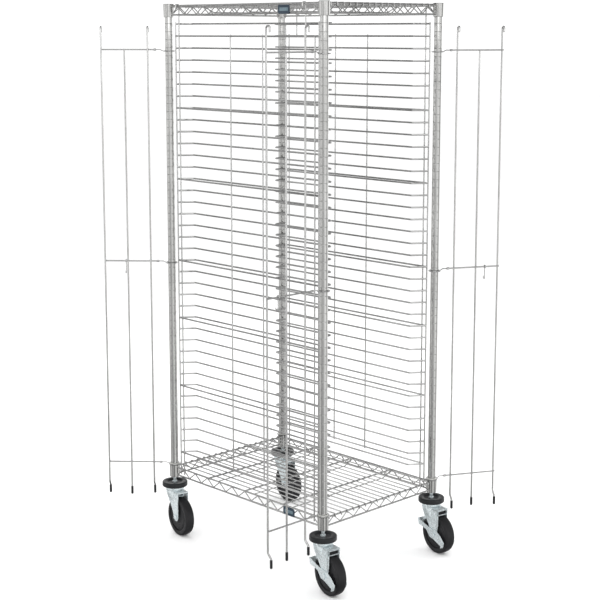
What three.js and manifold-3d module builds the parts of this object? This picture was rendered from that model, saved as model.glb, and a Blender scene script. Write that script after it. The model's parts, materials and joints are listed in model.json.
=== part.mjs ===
// Sheet pan rack: a wire rack on casters, with tray slides and lift-and-swing wire gates.
// Millimetres, +Z up. X runs across the open ends and Y from the front end (-Y) to the rear.
import * as THREE from 'three';
import { mergeVertices } from 'three/addons/utils/BufferGeometryUtils.js';
import Module from 'manifold-3d';

const wasm = await Module();
wasm.setup();

// Frame
const POST_X = 248;
const POST_Y = 351.5;
const POST_RADIUS = 12.7;
const POST_BORE = 11.5;
const POST_BOTTOM = 192;
const POST_TOP = 1750;
const CAP_TOP = 1753;
const CAP_PLUG_RADIUS = 11.1;
const CAP_PLUG_DEPTH = 16;
const ROUND_SIDES = 10;
const GAP = 0.3;
const X_AXIS = [1, 0, 0];
const Y_AXIS = [0, 1, 0];
const Z_AXIS = [0, 0, 1];

// Shelves: the collar's bottom is at z = 0 in a shelf's own frame
const SHELF_LEVELS = { bottom_shelf: 192, top_shelf: 1711 };
const COLLAR_HEIGHT = 42;
const COLLAR_BORE = 15.4;
const COLLAR_RADIUS = 17.6;
const SLEEVE_BORE = 13.3;
const SLEEVE_RADIUS = 14.8;
const SLEEVE_SLIT = 3;
const SLEEVE_RISE = 5;
const RIM_WIRE = 5.5;
const RIM_LOW = 7.5;
const RIM_HIGH = 33.5;
const STRUT_WIRE = 3.6;
const STRUTS = { along_x: 2, along_y: 3 };
const MAT_WIRE = 4;
const MAT_COUNT = 7;
const MAT_EDGE = 224;
const SUPPORT_Y = [-176, 176];

// Slide panels, measured from the post where the angled legs are: u along Y, v inwards
const LEDGE_COUNT = 38;
const LEDGE_TOP = 1690;
const LEDGE_PITCH = 38.1;
const LEDGE_WIRE = 5.6;
const HOOK_WIRE = 4.8;
const END_WIRE = 6.4;
const PANEL_OUTER = 6.6;
const PANEL_INNER = 50;
const ANGLED_END = 27;
const ANGLED_KNEE = 58;
const SQUARE_END = 676;
const SQUARE_CORNER = 688;
const MIDDLE_UPRIGHTS = [291, 436];
const SIDE_UPRIGHTS = [44, 659];
const STIFFENER_ROWS = [1, 7, 13, 20, 25, 31, 37];
const PANEL_BOTTOM = 205;
const HOOK_U = [44, 621];
const HOOK_TOP = 1750;
const HOOK_DROP = 12;

// Gates, measured from the post's axis: w along the gate, n to its outer side
const GATE_ROD = 6.4;
const ROD_W = [68, 143, 218];
const ROD_N = 7.2;
const ROD_TOP = 1681;
const CROSSBAR = 4.8;
const CROSSBAR_N = 2;
const CROSSBAR_Z = [241.4, 923, 1609];
const CROSSBAR_END = 221;
const GATE_HOOK_REACH = 15;
const GATE_HOOK_DROP = 16;
const JOGGLE = 13.8;
const JOGGLE_TOP = 174;
const JOGGLE_BOTTOM = 160;
const TIP_DIAMETER = 8.4;
const TIP_TOP = 158;
const TIP_BOTTOM = 131;
const CROSSBAR_START = 15.5;
const LOOP_RADIUS = 18.6;
const LOOP_WIRE = 4;
const LOOP_SIDES = 8;
const LOOP_DROP = 4.8;
const LATCH_EYE = 5.4;
const LATCH_WIRE = 3;
const LATCH_LENGTH = 40;
const LATCH_REACH = 10;
const LATCH_RISE = 8;

// Casters, in their own frame: the stem's axis is the origin and the wheel trails along +x
const CASTER_TURN = THREE.MathUtils.degToRad(-99);
const TRAIL = 38;
const WHEEL_RADIUS = 63.5;
const WHEEL_HALF = 16;
const WHEEL_SIDES = 18;
const WHEEL_BORE = 6.5;
const HUB_RADIUS = 20;
const TYRE_RADIUS = 48;
const AXLE_RADIUS = 5.9;
const AXLE_REACH = 25;
const NUT_RADIUS = 9.5;
const NUT_START = 21.3;
const FORK_TOP = 148;
const FORK_PLATE = 5;
const FORK_RADIUS = 30;
const FORK_INNER = 17.7;
const FORK_SHEET = 3;
const FORK_EYE = 14;
const FORK_REAR = TRAIL + FORK_EYE;
const HOUSING_X = [53, 57];
const HOUSING_Z = [128.5, 132];
const RACEWAY_BOTTOM = 148.5;
const RACEWAY_TOP = 159.7;
const RACEWAY_RADIUS = 31;
const STEM_RADIUS = 5.5;
const EXPANDER_RADIUS = 10.4;
const EXPANDER_BOTTOM = 193;
const STEM_TOP = 250;
const BUMPER_BOTTOM = 160;
const BUMPER_TOP = 176;
const BUMPER_RADIUS = 42;
const BUMPER_ROUND = 3;

// Brake lever: two arms on the axle outside the fork's legs, measured from the axle's centre,
// with a pedal across their leading end and a toe bent out of one trailing end
const ARM_INNER = 21.2;
const ARM_SHEET = 2.4;
const ARM_OUTLINE = [
  [-75, 34], [-26, 20], [15, 15], [52, -14], [46, -32],
  [6, -17], [-17, -12], [-34, 4], [-69, 14],
];
const ARM_BORE = 6.6;
const PEDAL_FROM = [-76, 35];
const PEDAL_TO = [-70, 13];
const TOE_FROM = [51, -16];
const TOE_TO = [46, -31];
const TOE_REACH = 32;
const LEVER_SHEET = 3;
const LEVER_SPACE = 2.8;

// Label plates on the left side's rims
const LABEL_SIZE = [1.2, 50, 26];
const LABEL_Y = { bottom_shelf: -207, top_shelf: -188 };
const LABEL_RISE = 19.5;

const POSTS = [
  { name: 'front_left', x: -1, y: -1, open: 180, latch: 180, brake: true },
  { name: 'front_right', x: 1, y: -1, open: 152, latch: 172, brake: true },
  { name: 'rear_left', x: -1, y: 1, open: 134, latch: 150, brake: false },
  { name: 'rear_right', x: 1, y: 1, open: 133, latch: 172, brake: false },
];

function finish(color, roughness, metalness) {
  return () => new THREE.MeshStandardMaterial({ color, roughness, metalness });
}
const chrome = finish(0xc4c6c8, 0.18, 1);
const zinc = finish(0xd8dbdd, 0.32, 1);
const blackRubber = finish(0x1c1d1f, 0.6, 0);
const wheelRubber = finish(0x232426, 0.55, 0);
const palePlastic = finish(0xd9dad8, 0.5, 0);
const labelPlastic = finish(0x2b3642, 0.35, 0);

// A closed geometry as a solid that can be joined and cut
function solid(geometry) {
  const bare = geometry.clone();
  bare.deleteAttribute('normal');
  bare.deleteAttribute('uv');
  const merged = mergeVertices(bare, 1e-3);
  return new wasm.Manifold(new wasm.Mesh({
    numProp: 3,
    vertProperties: merged.attributes.position.array,
    triVerts: merged.index.array,
  }));
}

function join(solids) {
  return solids.reduce((whole, piece) => whole.add(piece));
}

function surface(body) {
  const mesh = body.getMesh();
  const geometry = new THREE.BufferGeometry();
  geometry.setAttribute('position', new THREE.BufferAttribute(mesh.vertProperties, 3));
  geometry.setIndex(new THREE.BufferAttribute(mesh.triVerts, 1));
  geometry.computeVertexNormals();
  return geometry;
}

function named(name, geometry, material) {
  const mesh = new THREE.Mesh(geometry, material());
  mesh.name = name;
  return mesh;
}

// One straight wire between two points
function bar(from, to, width) {
  const start = new THREE.Vector3(...from);
  const end = new THREE.Vector3(...to);
  const direction = end.clone().sub(start);
  const geometry = new THREE.BoxGeometry(width, direction.length(), width);
  const turn = new THREE.Quaternion();
  turn.setFromUnitVectors(new THREE.Vector3(0, 1, 0), direction.normalize());
  geometry.applyQuaternion(turn);
  geometry.translate(...start.add(end).multiplyScalar(0.5).toArray());
  return solid(geometry);
}

// A wire bent in one plane: its mitred outline along the two axes, extruded to its own thickness
function bentWire(points, width, origin, xAxis, yAxis) {
  const line = points.map(([x, y]) => new THREE.Vector2(x, y));
  const offset = (i, side) => {
    const before = line[i].clone().sub(line[Math.max(i - 1, 0)]);
    const after = line[Math.min(i + 1, line.length - 1)].clone().sub(line[i]);
    const first = (i > 0 ? before : after).clone().normalize();
    const second = (i + 1 < line.length ? after : before).clone().normalize();
    const normal = new THREE.Vector2(-first.y - second.y, first.x + second.x).normalize();
    const reach = (side * width) / 2 / Math.sqrt((1 + first.dot(second)) / 2);
    return line[i].clone().addScaledVector(normal, reach);
  };
  const left = line.map((point, i) => offset(i, 1));
  const right = line.map((point, i) => offset(i, -1)).reverse();
  const outline = new THREE.Shape([...left, ...right]);
  const geometry = new THREE.ExtrudeGeometry(outline, { depth: width, bevelEnabled: false });
  geometry.translate(0, 0, -width / 2);
  const x = new THREE.Vector3(...xAxis);
  const y = new THREE.Vector3(...yAxis);
  const place = new THREE.Matrix4().makeBasis(x, y, x.clone().cross(y));
  place.setPosition(...origin);
  return solid(geometry.applyMatrix4(place));
}

function cylinder(radius, low, high, sides = ROUND_SIDES) {
  const geometry = new THREE.CylinderGeometry(radius, radius, high - low, sides);
  geometry.rotateX(Math.PI / 2);
  geometry.translate(0, 0, (low + high) / 2);
  return solid(geometry);
}

// A turned piece about z from [radius, z] pairs, listed so that the profile closes on itself
function turned(profile, sides) {
  const points = profile.map(([radius, z]) => new THREE.Vector2(radius, z));
  points.push(points[0].clone());
  const geometry = new THREE.LatheGeometry(points, sides);
  geometry.rotateX(Math.PI / 2);
  return geometry;
}

function ring(bore, radius, low, high, sides = ROUND_SIDES) {
  return solid(turned([[bore, low], [radius, low], [radius, high], [bore, high]], sides));
}

// Posts and their caps
function postShape() {
  return surface(ring(POST_BORE, POST_RADIUS, POST_BOTTOM, POST_TOP));
}

function capShape() {
  const head = cylinder(POST_RADIUS, POST_TOP + GAP, CAP_TOP);
  const plug = cylinder(CAP_PLUG_RADIUS, POST_TOP - CAP_PLUG_DEPTH, POST_TOP + 1);
  return surface(head.add(plug));
}

function sleeveShape() {
  const sleeve = ring(SLEEVE_BORE, SLEEVE_RADIUS, 0, COLLAR_HEIGHT + SLEEVE_RISE);
  const slit = new THREE.BoxGeometry(SLEEVE_RADIUS, SLEEVE_SLIT, COLLAR_HEIGHT * 3);
  slit.translate(SLEEVE_RADIUS, 0, COLLAR_HEIGHT / 2);
  return surface(sleeve.subtract(solid(slit)));
}

// One side of a shelf's rim: two wires with slanted struts between them
function rimSide(half, offset, struts, place) {
  const end = half - COLLAR_BORE - 1;
  const rail = (z) => bar(place(-end, offset, z), place(end, offset, z), RIM_WIRE);
  const pieces = [rail(RIM_LOW), rail(RIM_HIGH)];
  const step = (2 * end) / (2 * struts);
  for (let i = 0; i < 2 * struts; i += 1) {
    const from = -end + i * step;
    const heights = i % 2 ? [RIM_HIGH, RIM_LOW] : [RIM_LOW, RIM_HIGH];
    pieces.push(bar(place(from, offset, heights[0]), place(from + step, offset, heights[1]), STRUT_WIRE));
  }
  return join(pieces);
}

function shelfShape() {
  const alongX = (along, across, z) => [along, across, z];
  const alongY = (along, across, z) => [across, along, z];
  const pieces = [];
  for (const side of [-1, 1]) {
    pieces.push(rimSide(POST_X, side * POST_Y, STRUTS.along_x, alongX));
    pieces.push(rimSide(POST_Y, side * POST_X, STRUTS.along_y, alongY));
  }
  for (const y of SUPPORT_Y) {
    pieces.push(bar([-POST_X, y, RIM_HIGH], [POST_X, y, RIM_HIGH], RIM_WIRE));
  }
  const matZ = RIM_HIGH + (RIM_WIRE + MAT_WIRE) / 2 - 0.6;
  for (let i = 0; i < MAT_COUNT; i += 1) {
    const x = MAT_EDGE * (2 * i / (MAT_COUNT - 1) - 1);
    pieces.push(bar([x, -POST_Y, matZ], [x, POST_Y, matZ], MAT_WIRE));
  }
  for (const post of POSTS) {
    const collar = ring(COLLAR_BORE, COLLAR_RADIUS, 0, COLLAR_HEIGHT);
    pieces.push(collar.translate([post.x * POST_X, post.y * POST_Y, 0]));
  }
  return surface(join(pieces));
}

// A slide panel for the left side: its angled legs are at the rear post
function panelPoint(u, v, z) {
  return [v - POST_X, POST_Y - u, z];
}

function ledge(z) {
  const corners = [
    [ANGLED_END, PANEL_OUTER],
    [ANGLED_KNEE, PANEL_INNER],
    [SQUARE_CORNER, PANEL_INNER],
    [SQUARE_END, PANEL_OUTER],
  ];
  return bentWire(corners.map(([u, v]) => [v, -u]), LEDGE_WIRE, panelPoint(0, 0, z), X_AXIS, Y_AXIS);
}

function panelHook(u) {
  const corners = [
    [PANEL_OUTER, LEDGE_TOP - LEDGE_PITCH - END_WIRE],
    [PANEL_OUTER, HOOK_TOP],
    [-PANEL_OUTER, HOOK_TOP],
    [-PANEL_OUTER, HOOK_TOP - HOOK_DROP],
  ];
  return bentWire(corners, HOOK_WIRE, panelPoint(u, 0, 0), X_AXIS, Z_AXIS);
}

function panelShape() {
  const pieces = [];
  const ledgeLevel = (row) => LEDGE_TOP - row * LEDGE_PITCH;
  for (let row = 0; row < LEDGE_COUNT; row += 1) {
    pieces.push(ledge(ledgeLevel(row)));
  }
  for (const row of STIFFENER_ROWS) {
    const z = ledgeLevel(row);
    const from = panelPoint(ANGLED_END, PANEL_OUTER, z);
    const to = panelPoint(SQUARE_END, PANEL_OUTER, z);
    pieces.push(bar(from, to, LEDGE_WIRE));
  }
  const upright = (u, low, high, width) => {
    pieces.push(bar(panelPoint(u, PANEL_OUTER, low), panelPoint(u, PANEL_OUTER, high), width));
  };
  for (const u of [ANGLED_END, SQUARE_END]) {
    upright(u, PANEL_BOTTOM, LEDGE_TOP + END_WIRE, END_WIRE);
  }
  for (const u of SIDE_UPRIGHTS) {
    upright(u, PANEL_BOTTOM, ledgeLevel(1) + END_WIRE, LEDGE_WIRE);
  }
  for (const u of MIDDLE_UPRIGHTS) {
    upright(u, ledgeLevel(LEDGE_COUNT - 1) - END_WIRE, ledgeLevel(1) + END_WIRE, LEDGE_WIRE);
  }
  for (const u of HOOK_U) {
    pieces.push(panelHook(u));
  }
  return surface(join(pieces));
}

// A gate lies along +x from its post's axis, with its outer side towards -y
function gatePoint(w, n, z) {
  return [w, -n, z];
}

function outerRod(w) {
  const tipN = ROD_N - JOGGLE;
  const corners = [
    [ROD_N - GATE_HOOK_REACH, ROD_TOP - GATE_HOOK_DROP],
    [ROD_N - GATE_HOOK_REACH, ROD_TOP],
    [ROD_N, ROD_TOP],
    [ROD_N, JOGGLE_TOP],
    [tipN, JOGGLE_BOTTOM],
    [tipN, TIP_TOP - 2],
  ];
  const tip = bar(gatePoint(w, tipN, TIP_BOTTOM), gatePoint(w, tipN, TIP_TOP), TIP_DIAMETER);
  return bentWire(corners, GATE_ROD, gatePoint(w, 0, 0), [0, -1, 0], Z_AXIS).add(tip);
}

function middleRod(w) {
  const rod = bar(gatePoint(w, ROD_N, TIP_TOP - 1), gatePoint(w, ROD_N, CROSSBAR_Z[2]), GATE_ROD);
  return rod.add(bar(gatePoint(w, ROD_N, TIP_BOTTOM), gatePoint(w, ROD_N, TIP_TOP), TIP_DIAMETER));
}

function gateShape() {
  const pieces = [outerRod(ROD_W[0]), middleRod(ROD_W[1]), outerRod(ROD_W[2])];
  for (const z of CROSSBAR_Z) {
    const from = gatePoint(CROSSBAR_START, CROSSBAR_N, z);
    const to = gatePoint(CROSSBAR_END, CROSSBAR_N, z);
    pieces.push(bar(from, to, CROSSBAR));
  }
  return join(pieces);
}

function loopShape() {
  const half = LOOP_WIRE / 2;
  const low = LOOP_RADIUS - half;
  const high = LOOP_RADIUS + half;
  return surface(ring(low, high, -half, half, LOOP_SIDES));
}

// A latch hook: an eye round the crossbar, a shank and a turned-up end
function latchShape() {
  const half = LATCH_WIRE / 2;
  const eye = ring(LATCH_EYE - half, LATCH_EYE + half, -half, half, 8);
  const shank = [
    [0, -LATCH_EYE],
    [0, -LATCH_LENGTH],
    [-LATCH_REACH, -LATCH_LENGTH],
    [-LATCH_REACH, LATCH_RISE - LATCH_LENGTH],
  ];
  const wire = bentWire(shank, LATCH_WIRE, [0, 0, 0], Y_AXIS, Z_AXIS);
  return surface(eye.rotate([0, 90, 0]).add(wire));
}

// Casters
function stemShape() {
  const profile = [
    [0, RACEWAY_BOTTOM],
    [RACEWAY_RADIUS, RACEWAY_BOTTOM],
    [RACEWAY_RADIUS, RACEWAY_TOP - 4],
    [RACEWAY_RADIUS - 6, RACEWAY_TOP],
    [STEM_RADIUS, RACEWAY_TOP],
    [STEM_RADIUS, EXPANDER_BOTTOM],
    [EXPANDER_RADIUS, EXPANDER_BOTTOM],
    [EXPANDER_RADIUS, STEM_TOP],
    [0, STEM_TOP],
  ];
  return surface(solid(turned(profile, 14)));
}

function bumperShape() {
  const profile = [
    [STEM_RADIUS + 0.5, BUMPER_BOTTOM],
    [BUMPER_RADIUS - BUMPER_ROUND, BUMPER_BOTTOM],
    [BUMPER_RADIUS, BUMPER_BOTTOM + BUMPER_ROUND],
    [BUMPER_RADIUS, BUMPER_TOP - BUMPER_ROUND],
    [BUMPER_RADIUS - BUMPER_ROUND, BUMPER_TOP],
    [STEM_RADIUS + 0.5, BUMPER_TOP],
  ];
  return surface(solid(turned(profile, 14)));
}

// An outline in the wheel's plane as a sheet of the given thickness, its lower side at y
function sheetAlong(outline, y, thickness) {
  const geometry = new THREE.ExtrudeGeometry(outline, {
    depth: thickness,
    bevelEnabled: false,
    curveSegments: 4,
  });
  geometry.rotateX(Math.PI / 2);
  return solid(geometry.translate(0, y + thickness, 0));
}

function forkLeg(y) {
  const top = FORK_TOP - 1;
  const outline = new THREE.Shape();
  outline.moveTo(-FORK_RADIUS + 8, top);
  outline.lineTo(-FORK_RADIUS + 12, top - 20);
  outline.lineTo(0, top - 45);
  outline.lineTo(TRAIL - FORK_EYE, WHEEL_RADIUS + 6);
  outline.absarc(TRAIL, WHEEL_RADIUS, FORK_EYE, Math.PI, Math.PI * 2, false);
  outline.lineTo(FORK_REAR, top);
  return sheetAlong(outline, y, FORK_SHEET);
}

function axleHole(radius) {
  const hole = new THREE.CylinderGeometry(radius, radius, 6 * FORK_INNER, 10);
  return solid(hole.translate(TRAIL, 0, 0)).translate([0, 0, WHEEL_RADIUS]);
}

function forkShape(brake) {
  const outer = FORK_INNER + FORK_SHEET;
  const low = FORK_TOP - FORK_PLATE;
  const round = cylinder(FORK_RADIUS, low, FORK_TOP, 12);
  const rear = brake ? HOUSING_X[1] : FORK_REAR;
  const crown = new THREE.BoxGeometry(rear, 2 * outer, FORK_PLATE);
  crown.translate(rear / 2, 0, (low + FORK_TOP) / 2);
  const pieces = [round, solid(crown), forkLeg(FORK_INNER), forkLeg(-outer)];
  if (brake) {
    pieces.push(...housing(outer));
  }
  return surface(join(pieces).subtract(axleHole(WHEEL_BORE)));
}

// The brake housing: a bar over the tread below a slot, with a cheek at each end
function housing(outer) {
  const [front, rear] = HOUSING_X;
  const [low, high] = HOUSING_Z;
  const bottom = new THREE.BoxGeometry(rear - front, 2 * outer, high - low);
  bottom.translate((front + rear) / 2, 0, (low + high) / 2);
  const pieces = [solid(bottom)];
  for (const side of [-1, 1]) {
    const cheek = new THREE.BoxGeometry(rear - FORK_REAR + 4, FORK_SHEET, FORK_TOP - low - 1);
    const middle = side * (FORK_INNER + FORK_SHEET / 2);
    cheek.translate((rear + FORK_REAR - 4) / 2, middle, (low + FORK_TOP - 1) / 2);
    pieces.push(solid(cheek));
  }
  return pieces;
}

function axleShape(brake) {
  const spacing = brake ? LEVER_SPACE : 0;
  const reach = AXLE_REACH + spacing;
  const start = NUT_START + spacing;
  const shaft = new THREE.CylinderGeometry(AXLE_RADIUS, AXLE_RADIUS, 2 * reach - 2, 10);
  const pieces = [solid(shaft)];
  for (const side of [-1, 1]) {
    const nut = new THREE.CylinderGeometry(NUT_RADIUS, NUT_RADIUS, reach - start, 6);
    nut.translate(0, side * (reach + start) / 2, 0);
    pieces.push(solid(nut));
  }
  return surface(join(pieces)).translate(TRAIL, 0, WHEEL_RADIUS);
}

function wheelShape() {
  const profile = [
    [WHEEL_BORE, -WHEEL_HALF],
    [HUB_RADIUS, -WHEEL_HALF],
    [TYRE_RADIUS, -WHEEL_HALF + 2],
    [WHEEL_RADIUS, -WHEEL_HALF / 2],
    [WHEEL_RADIUS, WHEEL_HALF / 2],
    [TYRE_RADIUS, WHEEL_HALF - 2],
    [HUB_RADIUS, WHEEL_HALF],
    [WHEEL_BORE, WHEEL_HALF],
  ];
  const wheel = turned(profile, WHEEL_SIDES).rotateX(Math.PI / 2);
  return surface(solid(wheel.translate(TRAIL, 0, WHEEL_RADIUS)));
}

// A flat strip between two points of the wheel's plane, from y = low to y = high
function strip(from, to, low, high) {
  const start = new THREE.Vector2(...from);
  const along = new THREE.Vector2(...to).sub(start);
  const across = new THREE.Vector2(-along.y, along.x).setLength(LEVER_SHEET / 2);
  const end = start.clone().add(along);
  const corners = [
    start.clone().add(across),
    start.clone().sub(across),
    end.clone().sub(across),
    end.clone().add(across),
  ];
  return sheetAlong(new THREE.Shape(corners), low, high - low);
}

function leverShape() {
  const outer = ARM_INNER + ARM_SHEET;
  const arm = new THREE.Shape(ARM_OUTLINE.map(([x, z]) => new THREE.Vector2(x, z)));
  const pieces = [
    sheetAlong(arm, ARM_INNER, ARM_SHEET),
    sheetAlong(arm, -outer, ARM_SHEET),
    strip(PEDAL_FROM, PEDAL_TO, -outer, outer),
    strip(TOE_FROM, TOE_TO, -TOE_REACH, -ARM_INNER),
  ];
  const lever = join(pieces).translate([TRAIL, 0, WHEEL_RADIUS]);
  return surface(lever.subtract(axleHole(ARM_BORE)));
}

function caster(post) {
  const group = new THREE.Group();
  group.rotation.z = CASTER_TURN;
  group.position.set(post.x * POST_X, post.y * POST_Y, 0);
  group.add(named(`${post.name}_caster_stem`, stemShape(), zinc));
  group.add(named(`${post.name}_bumper`, bumperShape(), blackRubber));
  group.add(named(`${post.name}_fork`, forkShape(post.brake), zinc));
  group.add(named(`${post.name}_axle`, axleShape(post.brake), zinc));
  group.add(named(`${post.name}_wheel`, wheelShape(), wheelRubber));
  if (post.brake) {
    group.add(named(`${post.name}_brake_pedal`, leverShape(), zinc));
  }
  return group;
}

// A gate turned from its post towards the other post of its end by its rest opening
function gateGroup(post) {
  const group = new THREE.Group();
  group.position.set(post.x * POST_X, post.y * POST_Y, 0);
  const opening = THREE.MathUtils.degToRad(post.open);
  const mirrored = post.x * post.y < 0;
  group.rotation.z = (post.y < 0 ? 0 : Math.PI) + (mirrored ? Math.PI + opening : -opening);
  const gate = mirrored ? gateShape().mirror([0, 1, 0]) : gateShape();
  group.add(named(`${post.name}_gate`, surface(gate), chrome));
  const levels = ['lower', 'middle', 'upper'];
  CROSSBAR_Z.forEach((z, i) => {
    const loop = named(`${post.name}_${levels[i]}_loop`, loopShape(), chrome);
    loop.position.z = z - LOOP_DROP;
    group.add(loop);
  });
  const latch = named(`${post.name}_latch_hook`, latchShape(), chrome);
  latch.position.set(post.latch, mirrored ? CROSSBAR_N : -CROSSBAR_N, CROSSBAR_Z[1]);
  group.add(latch);
  return group;
}

function framePieces() {
  const group = new THREE.Group();
  for (const post of POSTS) {
    const corner = new THREE.Group();
    corner.position.set(post.x * POST_X, post.y * POST_Y, 0);
    corner.add(named(`${post.name}_post`, postShape(), chrome));
    corner.add(named(`${post.name}_cap`, capShape(), palePlastic));
    const sleeve = named(`${post.name}_sleeve`, sleeveShape(), palePlastic);
    sleeve.position.z = SHELF_LEVELS.bottom_shelf;
    sleeve.rotation.z = Math.atan2(post.y, post.x);
    corner.add(sleeve);
    group.add(corner);
  }
  for (const [name, level] of Object.entries(SHELF_LEVELS)) {
    const shelf = named(name, shelfShape(), chrome);
    shelf.position.z = level;
    group.add(shelf);
    const label = named(name.replace('shelf', 'label'), new THREE.BoxGeometry(...LABEL_SIZE), labelPlastic);
    const outside = -POST_X - RIM_WIRE / 2 - GAP - LABEL_SIZE[0] / 2;
    label.position.set(outside, LABEL_Y[name], level + LABEL_RISE);
    group.add(label);
  }
  group.add(named('left_slides', panelShape(), chrome));
  const right = named('right_slides', panelShape(), chrome);
  right.rotation.z = Math.PI;
  group.add(right);
  return group;
}

function rack() {
  const group = new THREE.Group();
  group.add(framePieces());
  for (const post of POSTS) {
    group.add(gateGroup(post));
    group.add(caster(post));
  }
  group.updateMatrixWorld(true);
  const box = new THREE.Box3().setFromObject(group, true);
  const centre = box.getCenter(new THREE.Vector3());
  group.position.set(-centre.x, -centre.y, -box.min.z);
  return group;
}

export default rack();
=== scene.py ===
"""Sheet pan rack: the looks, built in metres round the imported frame."""

import json
import math

import bpy
from mathutils import Matrix, Vector


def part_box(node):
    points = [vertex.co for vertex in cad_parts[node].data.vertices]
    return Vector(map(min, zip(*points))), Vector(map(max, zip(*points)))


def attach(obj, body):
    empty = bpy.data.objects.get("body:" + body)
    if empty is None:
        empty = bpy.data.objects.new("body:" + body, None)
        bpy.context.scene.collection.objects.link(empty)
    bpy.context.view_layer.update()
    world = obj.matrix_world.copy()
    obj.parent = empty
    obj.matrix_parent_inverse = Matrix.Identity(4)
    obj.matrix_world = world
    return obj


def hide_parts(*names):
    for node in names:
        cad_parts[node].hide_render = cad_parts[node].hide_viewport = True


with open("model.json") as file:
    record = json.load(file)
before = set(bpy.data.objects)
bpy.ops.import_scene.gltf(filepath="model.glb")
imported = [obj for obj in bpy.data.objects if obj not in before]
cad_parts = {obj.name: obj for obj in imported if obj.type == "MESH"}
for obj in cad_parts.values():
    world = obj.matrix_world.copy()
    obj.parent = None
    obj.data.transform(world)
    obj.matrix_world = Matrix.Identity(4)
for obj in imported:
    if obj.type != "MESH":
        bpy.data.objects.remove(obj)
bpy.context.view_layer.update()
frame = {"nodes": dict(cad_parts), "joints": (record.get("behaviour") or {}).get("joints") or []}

# Places read from the frame
POST_NAMES = ["front_left", "front_right", "rear_left", "rear_right"]


def middle(node):
    low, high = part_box(node)
    return (low + high) / 2


POST_AT = {name: Vector((middle(f"{name}_post").x, middle(f"{name}_post").y, 0)) for name in POST_NAMES}
RACK = (POST_AT["front_left"] + POST_AT["rear_right"]) / 2
POST_X = POST_AT["rear_right"].x - RACK.x
POST_Y = POST_AT["rear_right"].y - RACK.y
POST_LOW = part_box("front_left_post")[0].z
POST_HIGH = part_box("front_left_post")[1].z
CAP_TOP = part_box("front_left_cap")[1].z
JOINTS = {joint["name"]: joint for joint in frame["joints"]}

# Camera, measured from the rack's centre on the floor
CAMERA_AT = Vector((-3.058, -3.159, 1.666))
CAMERA_TURN = math.radians(44.03)
CAMERA_TILT = math.radians(8.56)
CAMERA_LENS = 83.1
CAMERA_SHIFT = -0.10

MM = 0.001
# Turned profiles start this close to their axis, and open wires end in a shallow dome
AXIS_RADIUS = 0.0002
DOME_REACH = 0.35
DOME_SCALE = 0.6

# Posts, collars and sleeves
POST_RADIUS = 12.7 * MM
GROOVE_PITCH = 25.4 * MM
GROOVE_DEPTH = 0.35 * MM
GROOVE_HALF = 0.9 * MM
POST_CHAMFER = 1.2 * MM
POST_SMOOTH = math.radians(15)
COLLAR_RADIUS = 17.4 * MM
COLLAR_BORE = 15.4 * MM
COLLAR_HEIGHT = 42 * MM
SLEEVE_RADIUS = 15.1 * MM
SLEEVE_BORE = 12.9 * MM
SLEEVE_RISE = 5 * MM

# Shelves, heights above the collar's foot
RIM_WIRE = 2.7 * MM
RIM_LOW = 7.5 * MM
RIM_HIGH = 33.5 * MM
STRUT_WIRE = 1.8 * MM
STRUT_PITCH = 60 * MM
MAT_WIRE = 2.0 * MM
MAT_COUNT = 18
MAT_EDGE = 226 * MM
MAT_LIFT = 4.2 * MM
MAT_END_DROP = 9 * MM
SUPPORT_Y = [-176 * MM, 0, 176 * MM]
SUPPORT_SLOPE = 40 * MM

# Slide panels: u along Y from the post with the angled legs, v inwards
LEDGE_COUNT = 38
LEDGE_TOP = 1.690
LEDGE_PITCH = 38.1 * MM
LEDGE_WIRE = 2.75 * MM
HOOK_WIRE = 2.35 * MM
PANEL_OUTER = 6.6 * MM
PANEL_INNER = 50 * MM
ANGLED_END = 27 * MM
ANGLED_KNEE = 58 * MM
SQUARE_CORNER = 688 * MM
SQUARE_END = 676 * MM
UPRIGHT_WIRE = 2.5 * MM
MIDDLE_UPRIGHTS = [291 * MM, 436 * MM]
SIDE_UPRIGHTS = [44 * MM, 659 * MM]
STIFFENER_ROWS = [1, 7, 13, 20, 25, 31, 37]
PANEL_FOOT = 0.205
HOOK_U = [44 * MM, 621 * MM]
HOOK_TOP = 1.750
HOOK_DROP = 12 * MM
WIRE_PAST = 4 * MM

# Gates: w from the post's axis along the gate, n towards its outer side
ROD_WIRE = 3.15 * MM
ROD_W = [68 * MM, 143 * MM, 218 * MM]
ROD_N = 7.2 * MM
ROD_TOP = 1.681
CROSSBAR_WIRE = 2.4 * MM
CROSSBAR_N = 2 * MM
CROSSBAR_Z = [0.2414, 0.923, 1.609]
CROSSBAR_END = 221 * MM
GATE_HOOK_REACH = 15 * MM
GATE_HOOK_DROP = 16 * MM
JOGGLE = 13.8 * MM
JOGGLE_TOP = 0.174
JOGGLE_LOW = 0.160
TIP_RADIUS = 4.2 * MM
TIP_TOP = 0.158
TIP_LOW = 0.131
LOOP_RADIUS = 18.3 * MM
LOOP_WIRE = 1.9 * MM
LOOP_DROP = 4.8 * MM
CLIP_W = [42 * MM, 49 * MM]
CLIP_RADIUS = 3.6 * MM
LINK_WIRE = 1.6 * MM
LINK_BEND_W = 28 * MM
LATCH_EYE = 5.0 * MM
LATCH_WIRE = 1.5 * MM
LATCH_LENGTH = 39.5 * MM
LATCH_REACH = 10 * MM
LATCH_RISE = 8 * MM

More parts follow.
